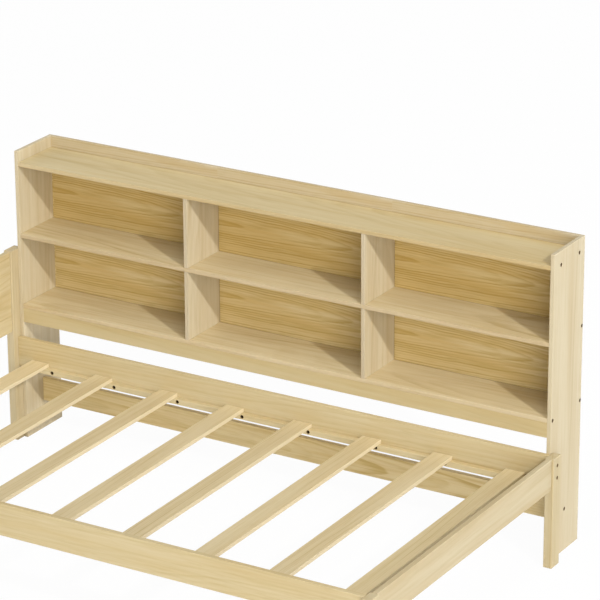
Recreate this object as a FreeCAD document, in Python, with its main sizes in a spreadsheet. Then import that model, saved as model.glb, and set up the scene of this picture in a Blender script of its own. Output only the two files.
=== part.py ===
import FreeCAD, Part
import os
import re
import Sketcher

# A pine single bed with a long open bookcase along its rear side, a slatted base between two
# long rails, a low headboard at the left end and a plain rail between two legs at the right.
#
# Frame: millimetres. The origin is on the floor in the middle of the whole footprint, +X runs
# along the bed to its foot end, +Y to the bookcase and the wall, +Z up.

doc = FreeCAD.newDocument("bookcase_bed")

# ---------------------------------------------------------------- driving dimensions

DIMENSIONS = {
    # bookcase
    "bookcase_length": 2000.0,      # over both side panels
    "bookcase_depth": 207.0,
    "bookcase_height": 1028.0,
    "board_thickness": 14.0,        # every board of the bookcase but the stretcher
    "bottom_shelf_height": 473.5,   # floor to the underside of the bottom shelf
    "tray_height": 38.5,            # top shelf to the tops of the side panels and back panel
    "apron_height": 50.5,
    "stretcher_thickness": 18.0,
    "stretcher_height": 83.0,
    "stretcher_clear_height": 103.0,  # floor to the underside of the stretcher
    "stretcher_setback": 98.5,      # front of the bookcase to the front of the stretcher
    "lap_clearance": 0.3,           # play in the halved slots of shelf and dividers
    # rails, legs and posts
    "bed_width_inside": 1125.0,     # between the two long rails
    "rail_thickness": 17.0,
    "rail_height": 105.0,
    "leg_height": 372.0,            # the rails are flush with the tops of the legs
    "leg_thickness": 30.0,          # along the bed, legs and headboard posts alike
    "leg_depth": 52.0,              # across the bed
    "post_depth": 60.0,
    "post_height": 684.0,
    "headboard_top": 681.0,
    "headboard_joint": 453.0,       # where the panel stands on the lower rail
    "headboard_bottom": 396.0,
    # slats and the ledgers under them
    "ledger_depth": 20.0,
    "ledger_height": 20.0,
    "ledger_inset": 50.0,           # headboard end of the rail to the ledger
    "ledger_end_gap": 2.0,          # foot end of the rail to the ledger
    "slat_width": 68.0,
    "slat_thickness": 13.0,
    "slat_end_gap": 1.0,
    "slat_first": 91.0,             # headboard end of the rail to the middle of the first slat
    "slat_last": 110.0,             # foot end of the rail to the middle of the last slat
    "slat_count": 8.0,
    # eased edges
    "arris": 1.5,                   # radius on the long edges of the boards
    "leg_arris": 2.5,
    "slat_arris": 1.0,
    # fasteners
    "hole_clearance": 0.15,         # round every shank, nut and dowel in its hole
    "bolt_diameter": 6.0,
    "bolt_head_diameter": 12.0,
    "bolt_head_height": 4.0,
    "bolt_recess": 8.0,             # depth of the sunk seat of the head
    "bolt_length": 70.0,
    "bolt_drop": 28.0,              # top of the leg to the upper bolt
    "bolt_spacing": 42.0,
    "socket_diameter": 5.0,
    "socket_depth": 2.5,
    "nut_diameter": 10.0,
    "nut_length": 13.0,
    "nut_setback": 34.0,            # end of the rail to the cross-drilled nut
    "screw_diameter": 4.0,
    "screw_head_diameter": 9.0,
    "screw_head_height": 3.0,
    "screw_hole_diameter": 12.0,    # recess that shows as a dark hole
    "screw_recess": 5.0,
    "shelf_screw_length": 40.0,
    "top_screw_front": 45.0,        # front of the bookcase to the screws of the top shelf
    "top_screw_rear": 37.0,         # rear of the bookcase to the other screws of the top shelf
    "bottom_screw_front": 11.0,
    "ledger_screw_cover": 4.0,      # wood left in the rail beyond the points of the screws
    "ledger_screw_first": 150.0,    # headboard end of the rail to the first screw
    "ledger_screw_last": 100.0,     # foot end of the rail to the last screw
    "ledger_screw_count": 8.0,
    "back_recess_diameter": 9.6,
    "back_recess": 3.4,
    "back_screw_length": 32.0,
    "side_screw_length": 30.0,
    "side_screw_setback": 9.0,      # front of the bookcase to the screws into legs and posts
    "side_screw_spacing": 63.0,
    "dowel_diameter": 6.0,
    "dowel_length": 24.0,
    "dowel_depth": 9.0,             # how deep a dowel sits in the thinner board
    "dowel_end_gap": 0.5,           # left free beyond each end of a dowel
    "slat_dowel_cover": 4.0,        # wood left in the slat over its dowels
    "shelf_dowel_front": 45.0,      # front of the bookcase to the front dowels
    "shelf_dowel_rear": 57.0,       # rear of the bookcase to the rear dowels
    "frame_dowel_diameter": 8.0,
    "frame_dowel_length": 36.0,
    "frame_dowel_inset": 26.0,      # edge of a rail or panel to the dowels of its joint
    "lower_rail_dowel_inset": 15.0,
}

sheet = doc.addObject("Spreadsheet::Sheet", "Dims")
for row, (name, size) in enumerate(DIMENSIONS.items(), start=1):
    sheet.set(f"A{row}", name)
    sheet.set(f"B{row}", str(size))
    sheet.setAlias(f"B{row}", name)
doc.recompute()


def linked(formula):
    """The formula with every dimension's name pointing at its cell in the sheet."""
    return re.sub(r"[a-z][a-z_]+", lambda word: "Dims." + word.group()
                  if word.group() in DIMENSIONS else word.group(), str(formula))


# ---------------------------------------------------------------- places shared by the pieces

HALF_LENGTH = "(bookcase_length / 2)"
TOTAL_DEPTH = ("(bookcase_depth + bed_width_inside + 2 * rail_thickness"
               " + (post_depth - rail_thickness) / 2)")
BOOKCASE_REAR = f"({TOTAL_DEPTH} / 2)"
BOOKCASE_FRONT = f"({BOOKCASE_REAR} - bookcase_depth)"
SHELF_DEPTH = "(bookcase_depth - board_thickness)"
SHELF_LENGTH = "(bookcase_length - 2 * board_thickness)"
TOP_SHELF = "(bookcase_height - tray_height - board_thickness)"
MIDDLE_SHELF = f"((bottom_shelf_height + {TOP_SHELF}) / 2)"
# middles of the dividers, which part the shelves into three equal lengths
DIVIDER_SPACING = f"(({SHELF_LENGTH} + board_thickness) / 3)"
DIVIDER_MIDDLES = (f"(-{DIVIDER_SPACING} / 2)", f"({DIVIDER_SPACING} / 2)")
# middles of the two long rails, across the bed
REAR_RAIL = f"({BOOKCASE_FRONT} - rail_thickness / 2)"
FRONT_RAIL = f"({BOOKCASE_FRONT} - 1.5 * rail_thickness - bed_width_inside)"
RAIL_BOTTOM = "(leg_height - rail_height)"
LEDGER_TOP = f"({RAIL_BOTTOM} + ledger_height)"
SLAT_Y = f"({BOOKCASE_FRONT} - rail_thickness - bed_width_inside + slat_end_gap)"
# inner faces of the legs and posts that look at each other across the bed
FOOT_FROM = f"({FRONT_RAIL} + leg_depth / 2)"
FOOT_TO = f"({REAR_RAIL} - leg_depth / 2)"
HEAD_FROM = f"({FRONT_RAIL} + post_depth / 2)"
HEAD_TO = f"({REAR_RAIL} - post_depth / 2)"
# middles of the legs and posts, along the bed
LEG_X = f"({HALF_LENGTH} + leg_thickness / 2)"
POST_X = f"(-{HALF_LENGTH} - leg_thickness / 2)"


# ---------------------------------------------------------------- how a piece is made

# Holes and rods run along "+X", "-X" and so on. Each axis has the origin plane that lies across
# it, and the two axes of the frame that the plane's sketch uses.
PLANES = {"X": ("YZ_Plane", "YZ"), "Y": ("XZ_Plane", "XZ"), "Z": ("XY_Plane", "XY")}
ROUGH = 10.0    # sketches are drawn at rough places, and their constraints then drive them


class Piece:
    """One body. Its corner stands at `corner`, and all places are given in the bed's frame."""

    def __init__(self, name, corner):
        self.body = doc.addObject("PartDesign::Body", name)
        self.body.Label = name
        self.body.AllowCompound = True
        self.corner = dict(zip("XYZ", corner))
        self.features = 0
        for axis, place in self.corner.items():
            self.body.setExpression(f"Placement.Base.{axis.lower()}", linked(place))

    def sketch(self, direction, start):
        """An empty sketch across `direction`, at the place `start` along it."""
        axis = direction[1]
        plane, _ = PLANES[axis]
        self.features += 1
        sketch = self.body.newObject("Sketcher::SketchObject",
                                     f"{self.body.Name}_sketch_{self.features}")
        support = [f for f in self.body.Origin.OriginFeatures if f.Role == plane][0]
        sketch.AttachmentSupport = [(support, "")]
        sketch.MapMode = "FlatFace"
        # the normal of the plane across Y points along -Y
        sign = "-" if axis == "Y" else ""
        sketch.setExpression("AttachmentOffset.Base.z",
                             linked(f"{sign}(({start}) - ({self.corner[axis]}))"))
        return sketch

    def locate(self, sketch, direction, geometry, point, centre):
        """Tie a point of the sketch to a place that is given in the bed's frame."""
        _, axes = PLANES[direction[1]]
        for kind, axis, place in zip(("DistanceX", "DistanceY"), axes, centre):
            number = sketch.addConstraint(Sketcher.Constraint(kind, -1, 1, geometry, point, ROUGH))
            sketch.setExpression(f"Constraints[{number}]",
                                 linked(f"({place}) - ({self.corner[axis]})"))

    def circles(self, direction, start, centres, diameter):
        sketch = self.sketch(direction, start)
        for number, centre in enumerate(centres):
            place = FreeCAD.Vector(ROUGH * (number + 1), ROUGH, 0)
            sketch.addGeometry(Part.Circle(place, FreeCAD.Vector(0, 0, 1), ROUGH / 4), False)
            size = sketch.addConstraint(Sketcher.Constraint("Diameter", number, ROUGH / 2))
            sketch.setExpression(f"Constraints[{size}]", linked(diameter))
            self.locate(sketch, direction, number, 3, centre)
        return sketch

    def rectangle(self, direction, start, low, size):
        """A rectangle whose low corner is at `low`, in the bed's frame."""
        sketch = self.sketch(direction, start)
        near, far = ROUGH, 3 * ROUGH
        outline = [(near, near), (far, near), (far, far), (near, far), (near, near)]
        corners = [FreeCAD.Vector(x, y, 0) for x, y in outline]
        for begin, end in zip(corners, corners[1:]):
            sketch.addGeometry(Part.LineSegment(begin, end))
        for number in range(4):
            sketch.addConstraint(
                Sketcher.Constraint("Coincident", number, 2, (number + 1) % 4, 1))
            level = "Horizontal" if number % 2 == 0 else "Vertical"
            sketch.addConstraint(Sketcher.Constraint(level, number))
        for kind, side, length in (("DistanceX", 0, size[0]), ("DistanceY", 1, size[1])):
            number = sketch.addConstraint(Sketcher.Constraint(kind, side, 1, side, 2, ROUGH))
            sketch.setExpression(f"Constraints[{number}]", linked(length))
        self.locate(sketch, direction, 0, 1, low)
        return sketch

    def extrude(self, kind, sketch, direction, length):
        """Pad or Pocket of the sketch that runs along `direction`."""
        feature = self.body.newObject(f"PartDesign::{kind}", f"{sketch.Name}_{kind.lower()}")
        feature.Profile = sketch
        feature.setExpression("Length", linked(length))
        # a pad runs along its plane's normal and a pocket against it, unless reversed
        along_normal = (direction[0] == "+") == (direction[1] != "Y")
        feature.Reversed = along_normal if kind == "Pocket" else not along_normal
        self.body.Tip = feature
        return feature

    def board(self, size, arris, along=None):
        """A rectangular board with eased edges: those along one axis only, or all of them."""
        low = list(self.corner.values())
        outline = self.rectangle("+Z", low[2], low[:2], size[:2])
        pad = self.extrude("Pad", outline, "+Z", size[2])
        doc.recompute()
        names = []
        for number, edge in enumerate(pad.Shape.Edges, start=1):
            line = edge.Vertexes[1].Point - edge.Vertexes[0].Point
            if along is None or abs(line.normalize().dot(along)) > 0.999:
                names.append(f"Edge{number}")
        fillet = self.body.newObject("PartDesign::Fillet", f"{self.body.Name}_arris")
        fillet.Base = (pad, names)
        fillet.setExpression("Radius", linked(arris))
        self.body.Tip = fillet
        return self

    def drill(self, direction, start, centres, diameter, depth):
        """Round holes that run along `direction` from `start`."""
        sketch = self.circles(direction, start, centres, diameter)
        self.extrude("Pocket", sketch, direction, depth)
        return self

    def slot(self, direction, start, low, size, depth):
        sketch = self.rectangle(direction, start, low, size)
        self.extrude("Pocket", sketch, direction, depth)
        return self

    def rod(self, direction, start, centres, diameter, length):
        """Round rods that run along `direction` from `start`, one at each centre."""
        sketch = self.circles(direction, start, centres, diameter)
        self.extrude("Pad", sketch, direction, length)
        return self


ALONG_X = FreeCAD.Vector(1, 0, 0)
ALONG_Y = FreeCAD.Vector(0, 1, 0)
ALONG_Z = FreeCAD.Vector(0, 0, 1)
HOLE = "+ 2 * hole_clearance"
SCREW_HOLE = f"screw_diameter {HOLE}"
DOWEL_HOLE = f"dowel_diameter {HOLE}"
FRAME_DOWEL_HOLE = f"frame_dowel_diameter {HOLE}"
BOLT_HOLE = f"bolt_diameter {HOLE}"
NUT_HOLE = f"nut_diameter {HOLE}"
pieces = []


def new_piece(name, corner):
    piece = Piece(name, corner)
    pieces.append(piece)
    return piece


# ---------------------------------------------------------------- places of the fasteners

SHELF_MIDDLE = "board_thickness / 2"
BACK_Y = f"({BOOKCASE_REAR} - board_thickness / 2)"
STRETCHER_Y = f"({BOOKCASE_FRONT} + stretcher_setback + stretcher_thickness / 2)"
STRETCHER_Z = "(stretcher_clear_height + stretcher_height / 2)"
# (Y, Z) of the screws through each side panel
side_screws = [
    (f"{BOOKCASE_FRONT} + top_screw_front", f"{TOP_SHELF} + {SHELF_MIDDLE}"),
    (f"{BOOKCASE_REAR} - top_screw_rear", f"{TOP_SHELF} + {SHELF_MIDDLE}"),
    (f"{BOOKCASE_FRONT} + bottom_screw_front", f"bottom_shelf_height + {SHELF_MIDDLE}"),
    (BACK_Y, f"{MIDDLE_SHELF} + {SHELF_MIDDLE}"),
    (BACK_Y, f"bottom_shelf_height + {SHELF_MIDDLE}"),
    (STRETCHER_Y, STRETCHER_Z),
]
top_shelf_screws = side_screws[0:2]
bottom_shelf_screws = side_screws[2:3]
back_panel_screws = side_screws[3:5]
stretcher_screws = side_screws[5:6]

# (Y, Z) of the dowels in the ends of the middle and bottom shelves
DOWEL_FRONT = f"({BOOKCASE_FRONT} + shelf_dowel_front)"
DOWEL_REAR = f"({BOOKCASE_REAR} - shelf_dowel_rear)"
middle_dowels = [(place, f"{MIDDLE_SHELF} + {SHELF_MIDDLE}") for place in (DOWEL_FRONT, DOWEL_REAR)]
bottom_dowels = [(DOWEL_REAR, f"bottom_shelf_height + {SHELF_MIDDLE}")]

# (X, Y) of the dowels above and below the dividers, and of those on top of the apron
divider_dowels = [(x, y) for x in DIVIDER_MIDDLES for y in (DOWEL_FRONT, DOWEL_REAR)]
apron_dowels = [(f"{step} * {SHELF_LENGTH} / 5", f"{BOOKCASE_FRONT} + {SHELF_MIDDLE}")
                for step in (-2, -1, 0, 1, 2)]

# (X, Z) of the screws through the back panel, into each shelf and each divider
shelf_levels = ("bottom_shelf_height", MIDDLE_SHELF, TOP_SHELF)
shelf_back_screws = [[(f"{step} * {DIVIDER_SPACING}", f"{level} + {SHELF_MIDDLE}")
                      for step in (-1, 0, 1)] for level in shelf_levels]
divider_back_screws = [[(x, f"({below} + {above} + board_thickness) / 2")
                        for below, above in zip(shelf_levels, shelf_levels[1:])]
                       for x in DIVIDER_MIDDLES]
back_screws = sum(shelf_back_screws + divider_back_screws, [])

# (Y, Z) of the screws that hold the bookcase to a leg or post
side_to_leg = [(f"{BOOKCASE_FRONT} + side_screw_setback",
                f"leg_height - bolt_drop - {step} * side_screw_spacing") for step in (0, 1)]


def bed_bolts(rail):
    """(Y, Z) of the two bolts into the end of a long rail."""
    return [(rail, f"leg_height - bolt_drop - {step} * bolt_spacing") for step in (0, 1)]


# (X, Z) of the dowels in the end rail, the headboard panel and the headboard lower rail
end_rail_dowels = [(LEG_X, "leg_height - frame_dowel_inset"),
                   (LEG_X, f"{RAIL_BOTTOM} + frame_dowel_inset")]
panel_dowels = [(POST_X, "headboard_top - frame_dowel_inset"),
                (POST_X, "(headboard_top + headboard_joint) / 2"),
                (POST_X, "headboard_joint + frame_dowel_inset")]
lower_rail_dowels = [(POST_X, "headboard_joint - lower_rail_dowel_inset"),
                     (POST_X, "headboard_bottom + lower_rail_dowel_inset")]

# slats and the fasteners of the ledgers
LEDGER_X = f"(-{HALF_LENGTH} + ledger_inset)"
LEDGER_LENGTH = "(bookcase_length - ledger_inset - ledger_end_gap)"
SLAT_PITCH = "((bookcase_length - slat_first - slat_last) / (slat_count - 1))"
slat_middles = [f"(-{HALF_LENGTH} + slat_first + {step} * {SLAT_PITCH})"
                for step in range(int(DIMENSIONS["slat_count"]))]
LEDGER_SCREW_PITCH = ("((bookcase_length - ledger_screw_first - ledger_screw_last)"
                      " / (ledger_screw_count - 1))")
ledger_screws = [(f"-{HALF_LENGTH} + ledger_screw_first + {step} * {LEDGER_SCREW_PITCH}",
                  f"{RAIL_BOTTOM} + ledger_height / 2")
                 for step in range(int(DIMENSIONS["ledger_screw_count"]))]
REAR_LEDGER = f"({REAR_RAIL} - rail_thickness / 2 - ledger_depth / 2)"
FRONT_LEDGER = f"({FRONT_RAIL} + rail_thickness / 2 + ledger_depth / 2)"


# ---------------------------------------------------------------- bookcase

SIDES = {"left": (f"(-{HALF_LENGTH})", "+X"),
         "right": (f"({HALF_LENGTH} - board_thickness)", "-X")}


def side_panel(hand):
    """A side panel. Its screws go inwards, from its outer face."""
    low, inwards = SIDES[hand]
    outwards = "-X" if inwards == "+X" else "+X"
    outer = f"(-{HALF_LENGTH})" if inwards == "+X" else HALF_LENGTH
    inner = f"({low} + board_thickness)" if inwards == "+X" else low
    panel = new_piece(f"bookcase_side_{hand}", (low, BOOKCASE_FRONT, "0"))
    panel.board(("board_thickness", "bookcase_depth", "bookcase_height"), "arris")
    panel.drill(inwards, outer, side_screws, SCREW_HOLE, "board_thickness")
    panel.drill(inwards, outer, side_screws, "screw_hole_diameter", "screw_recess")
    panel.drill(outwards, inner, middle_dowels + bottom_dowels, DOWEL_HOLE,
                "dowel_depth + dowel_end_gap")
    panel.drill(outwards, inner, side_to_leg, SCREW_HOLE, "board_thickness")
    panel.drill(outwards, inner, side_to_leg, "back_recess_diameter", "back_recess")


def end_holes(board, centres, diameter, depth):
    """The same holes in both ends of a board that lies between the side panels."""
    reach = f"({SHELF_LENGTH} / 2)"
    board.drill("+X", f"-{reach}", centres, diameter, depth)
    board.drill("-X", reach, centres, diameter, depth)


END_DOWEL_DEPTH = "dowel_length - dowel_depth + dowel_end_gap"
END_SCREW_DEPTH = "shelf_screw_length + screw_recess - board_thickness + dowel_end_gap"


def shelf(name, level):
    board = new_piece(name, (f"(-{SHELF_LENGTH} / 2)", BOOKCASE_FRONT, level))
    board.board((SHELF_LENGTH, SHELF_DEPTH, "board_thickness"), "arris", ALONG_X)
    board.drill("-Y", f"{BOOKCASE_REAR} - board_thickness",
                shelf_back_screws[shelf_levels.index(level)], SCREW_HOLE,
                "back_screw_length + back_recess - board_thickness + dowel_end_gap")
    return board


for hand in SIDES:
    side_panel(hand)

top_shelf = shelf("top_shelf", TOP_SHELF)
end_holes(top_shelf, top_shelf_screws, SCREW_HOLE, END_SCREW_DEPTH)
top_shelf.drill("+Z", TOP_SHELF, divider_dowels, DOWEL_HOLE, "dowel_depth + dowel_end_gap")

# The middle shelf runs right through. It is slotted from the rear and each divider from the
# front, half the depth each, so that they push into each other.
middle_shelf = shelf("middle_shelf", MIDDLE_SHELF)
end_holes(middle_shelf, middle_dowels, DOWEL_HOLE, END_DOWEL_DEPTH)
for middle in DIVIDER_MIDDLES:
    middle_shelf.slot("+Z", MIDDLE_SHELF,
                      (f"{middle} - board_thickness / 2 - lap_clearance",
                       f"{BOOKCASE_FRONT} + {SHELF_DEPTH} / 2"),
                      ("board_thickness + 2 * lap_clearance", f"{SHELF_DEPTH} / 2"),
                      "board_thickness")

bottom_shelf = shelf("bottom_shelf", "bottom_shelf_height")
end_holes(bottom_shelf, bottom_shelf_screws, SCREW_HOLE, END_SCREW_DEPTH)
end_holes(bottom_shelf, bottom_dowels, DOWEL_HOLE, END_DOWEL_DEPTH)
bottom_shelf.drill("-Z", "bottom_shelf_height + board_thickness", divider_dowels, DOWEL_HOLE,
                   "dowel_depth + dowel_end_gap")
bottom_shelf.drill("+Z", "bottom_shelf_height", apron_dowels, DOWEL_HOLE,
                   "dowel_depth + dowel_end_gap")

DIVIDER_HEIGHT = f"({TOP_SHELF} - bottom_shelf_height - board_thickness)"
for hand, middle, back in zip(("left", "right"), DIVIDER_MIDDLES, divider_back_screws):
    divider = new_piece(f"divider_{hand}", (f"{middle} - board_thickness / 2", BOOKCASE_FRONT,
                                            "bottom_shelf_height + board_thickness"))
    divider.board(("board_thickness", SHELF_DEPTH, DIVIDER_HEIGHT), "arris", ALONG_Z)
    divider.slot("+Y", BOOKCASE_FRONT,
                 (f"{middle} - board_thickness / 2", f"{MIDDLE_SHELF} - lap_clearance"),
                 ("board_thickness", "board_thickness + 2 * lap_clearance"),
                 f"{SHELF_DEPTH} / 2 + lap_clearance")
    own_dowels = [place for place in divider_dowels if place[0] == middle]
    divider.drill("-Z", TOP_SHELF, own_dowels, DOWEL_HOLE, END_DOWEL_DEPTH)
    divider.drill("+Z", "bottom_shelf_height + board_thickness", own_dowels, DOWEL_HOLE,
                  END_DOWEL_DEPTH)
    divider.drill("-Y", f"{BOOKCASE_REAR} - board_thickness", back, SCREW_HOLE,
                  "back_screw_length + back_recess - board_thickness + dowel_end_gap")

back_panel = new_piece("back_panel", (f"(-{SHELF_LENGTH} / 2)",
                                      f"{BOOKCASE_REAR} - board_thickness",
                                      "bottom_shelf_height"))
back_panel.board((SHELF_LENGTH, "board_thickness", "bookcase_height - bottom_shelf_height"),
                 "arris", ALONG_X)
end_holes(back_panel, back_panel_screws, SCREW_HOLE, END_SCREW_DEPTH)
back_panel.drill("-Y", BOOKCASE_REAR, back_screws, SCREW_HOLE, "board_thickness")
back_panel.drill("-Y", BOOKCASE_REAR, back_screws, "back_recess_diameter", "back_recess")

apron = new_piece("apron", (f"(-{SHELF_LENGTH} / 2)", BOOKCASE_FRONT,
                            "bottom_shelf_height - apron_height"))
apron.board((SHELF_LENGTH, "board_thickness", "apron_height"), "arris", ALONG_X)
apron.drill("-Z", "bottom_shelf_height", apron_dowels, DOWEL_HOLE, END_DOWEL_DEPTH)

stretcher = new_piece("stretcher", (f"(-{SHELF_LENGTH} / 2)",
                                    f"{BOOKCASE_FRONT} + stretcher_setback",
                                    "stretcher_clear_height"))
stretcher.board((SHELF_LENGTH, "stretcher_thickness", "stretcher_height"), "arris", ALONG_X)
end_holes(stretcher, stretcher_screws, SCREW_HOLE, END_SCREW_DEPTH)


# ---------------------------------------------------------------- legs, posts and rails

def upright(name, middle_x, rail, depth, height, into_rail):
    """A leg or post. `into_rail` is the direction of its two bed bolts."""
    low_x = f"{middle_x} - leg_thickness / 2"
    outer = low_x if into_rail == "+X" else f"{middle_x} + leg_thickness / 2"
    piece = new_piece(name, (low_x, f"{rail} - {depth} / 2", "0"))
    piece.board(("leg_thickness", depth, height), "leg_arris")
    piece.drill(into_rail, outer, bed_bolts(rail), BOLT_HOLE, "leg_thickness")
    piece.drill(into_rail, outer, bed_bolts(rail), f"bolt_head_diameter {HOLE}", "bolt_recess")
    return piece


def screw_to_side(piece, inner, outwards):
    """Pilot holes for the screws that come out of a bookcase side panel."""
    piece.drill(outwards, inner, side_to_leg, SCREW_HOLE,
                "side_screw_length + back_recess - board_thickness + dowel_end_gap")


FRAME_DOWEL_DEPTH = "frame_dowel_length / 2 + dowel_end_gap"
foot_legs = {"rear": (REAR_RAIL, "-Y", FOOT_TO), "front": (FRONT_RAIL, "+Y", FOOT_FROM)}
for place, (rail, outwards, face) in foot_legs.items():
    leg = upright(f"foot_leg_{place}", LEG_X, rail, "leg_depth", "leg_height", "-X")
    inwards = "+Y" if outwards == "-Y" else "-Y"
    leg.drill(inwards, face, end_rail_dowels, FRAME_DOWEL_HOLE, FRAME_DOWEL_DEPTH)
    if place == "rear":
        screw_to_side(leg, HALF_LENGTH, "+X")

head_posts = {"rear": (REAR_RAIL, "+Y", HEAD_TO), "front": (FRONT_RAIL, "-Y", HEAD_FROM)}
for place, (rail, inwards, face) in head_posts.items():
    post = upright(f"headboard_post_{place}", POST_X, rail, "post_depth", "post_height", "+X")
    post.drill(inwards, face, panel_dowels + lower_rail_dowels, FRAME_DOWEL_HOLE,
               FRAME_DOWEL_DEPTH)
    if place == "rear":
        screw_to_side(post, f"-{HALF_LENGTH}", "-X")


def long_rail(name, rail):
    """A rail along the bed, with bolt bores in its ends and cross holes for the nuts."""
    board = new_piece(name, (f"-{HALF_LENGTH}", f"{rail} - rail_thickness / 2", RAIL_BOTTOM))
    board.board(("bookcase_length", "rail_thickness", "rail_height"), "arris", ALONG_X)
    bolts = bed_bolts(rail)
    bore_depth = "bolt_length + bolt_recess - leg_thickness + dowel_end_gap"
    board.drill("+X", f"-{HALF_LENGTH}", bolts, BOLT_HOLE, bore_depth)
    board.drill("-X", HALF_LENGTH, bolts, BOLT_HOLE, bore_depth)
    nuts = nut_places(bolts)
    board.drill("-Y", f"{rail} + rail_thickness / 2", nuts, NUT_HOLE,
                "(rail_thickness + nut_length) / 2 + dowel_end_gap")
    return board


def nut_places(bolts):
    """(X, Z) of the cross-drilled nuts at both ends of a rail."""
    return [(x, z) for x in (f"-{HALF_LENGTH} + nut_setback", f"{HALF_LENGTH} - nut_setback")
            for _, z in bolts]


LEDGER_SCREW_LENGTH = "(ledger_depth - screw_recess + rail_thickness - ledger_screw_cover)"
LEDGER_PILOT = "(rail_thickness - ledger_screw_cover + dowel_end_gap)"
rear_rail = long_rail("side_rail_rear", REAR_RAIL)
rear_rail.drill("+Y", f"{REAR_RAIL} - rail_thickness / 2", ledger_screws, SCREW_HOLE,
                LEDGER_PILOT)
front_rail = long_rail("side_rail_front", FRONT_RAIL)
front_rail.drill("-Y", f"{FRONT_RAIL} + rail_thickness / 2", ledger_screws, SCREW_HOLE,
                 LEDGER_PILOT)


def cross_board(name, middle_x, start, end, low, high):
    """A board across the bed between two legs or posts, in the middle of their thickness."""
    board = new_piece(name, (f"{middle_x} - rail_thickness / 2", start, low))
    board.board(("rail_thickness", f"{end} - {start}", f"{high} - {low}"), "arris", ALONG_Y)
    return board


def cross_dowel_holes(board, start, end, centres):
    board.drill("+Y", start, centres, FRAME_DOWEL_HOLE, FRAME_DOWEL_DEPTH)
    board.drill("-Y", end, centres, FRAME_DOWEL_HOLE, FRAME_DOWEL_DEPTH)


end_rail = cross_board("end_rail_foot", LEG_X, FOOT_FROM, FOOT_TO, RAIL_BOTTOM, "leg_height")
cross_dowel_holes(end_rail, FOOT_FROM, FOOT_TO, end_rail_dowels)
headboard_panel = cross_board("headboard_panel", POST_X, HEAD_FROM, HEAD_TO,
                              "headboard_joint", "headboard_top")
cross_dowel_holes(headboard_panel, HEAD_FROM, HEAD_TO, panel_dowels)
headboard_rail = cross_board("headboard_lower_rail", POST_X, HEAD_FROM, HEAD_TO,
                             "headboard_bottom", "headboard_joint")
cross_dowel_holes(headboard_rail, HEAD_FROM, HEAD_TO, lower_rail_dowels)


# ---------------------------------------------------------------- ledgers and slats

SLAT_DOWEL_IN_SLAT = "(slat_thickness - slat_dowel_cover)"


def ledger(name, middle_y, outwards):
    """A strip screwed to a long rail. Its screws go `outwards`, into the rail."""
    piece = new_piece(name, (LEDGER_X, f"{middle_y} - ledger_depth / 2", RAIL_BOTTOM))
    piece.board((LEDGER_LENGTH, "ledger_depth", "ledger_height"), "arris", ALONG_X)
    sign = "-" if outwards == "+Y" else "+"
    face = f"{middle_y} {sign} ledger_depth / 2"
    piece.drill(outwards, face, ledger_screws, SCREW_HOLE, "ledger_depth")
    piece.drill(outwards, face, ledger_screws, "screw_hole_diameter", "screw_recess")
    piece.drill("-Z", LEDGER_TOP, [(x, middle_y) for x in slat_middles], DOWEL_HOLE,
                f"dowel_length - {SLAT_DOWEL_IN_SLAT} + dowel_end_gap")


ledger("ledger_rear", REAR_LEDGER, "+Y")
ledger("ledger_front", FRONT_LEDGER, "-Y")

for number, middle in enumerate(slat_middles, start=1):
    slat = new_piece(f"slat_{number}", (f"{middle} - slat_width / 2", SLAT_Y, LEDGER_TOP))
    slat.board(("slat_width", "bed_width_inside - 2 * slat_end_gap", "slat_thickness"),
               "slat_arris")
    slat.drill("+Z", LEDGER_TOP, [(middle, REAR_LEDGER), (middle, FRONT_LEDGER)], DOWEL_HOLE,
               f"{SLAT_DOWEL_IN_SLAT} + dowel_end_gap")


# ---------------------------------------------------------------- fasteners

# Each group of identical fasteners is one body with a separate solid for each of them.
GROUP_CORNER = (f"{POST_X} - leg_thickness / 2", f"{FRONT_RAIL} - post_depth / 2", "0")


def screw_rods(group, direction, seat, centres, length):
    """Screws whose heads rest on the plane `seat` and whose shanks run along `direction`."""
    back = {"+": "-", "-": "+"}[direction[0]]
    group.rod(back + direction[1], seat, centres, "screw_head_diameter", "screw_head_height")
    group.rod(direction, seat, centres, "screw_diameter", length)


bookcase_screws = new_piece("bookcase_side_screws", GROUP_CORNER)
screw_rods(bookcase_screws, "+X", f"-{HALF_LENGTH} + screw_recess", side_screws,
           "shelf_screw_length")
screw_rods(bookcase_screws, "-X", f"{HALF_LENGTH} - screw_recess", side_screws,
           "shelf_screw_length")

back_panel_screw_group = new_piece("back_panel_screws", GROUP_CORNER)
screw_rods(back_panel_screw_group, "-Y", f"{BOOKCASE_REAR} - back_recess", back_screws,
           "back_screw_length")

leg_screws = new_piece("bookcase_to_leg_screws", GROUP_CORNER)
screw_rods(leg_screws, "-X", f"-{HALF_LENGTH} + board_thickness - back_recess", side_to_leg,
           "side_screw_length")
screw_rods(leg_screws, "+X", f"{HALF_LENGTH} - board_thickness + back_recess", side_to_leg,
           "side_screw_length")

ledger_screw_group = new_piece("ledger_screws", GROUP_CORNER)
screw_rods(ledger_screw_group, "+Y", f"{REAR_LEDGER} - ledger_depth / 2 + screw_recess",
           ledger_screws, LEDGER_SCREW_LENGTH)
screw_rods(ledger_screw_group, "-Y", f"{FRONT_LEDGER} + ledger_depth / 2 - screw_recess",
           ledger_screws, LEDGER_SCREW_LENGTH)

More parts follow.
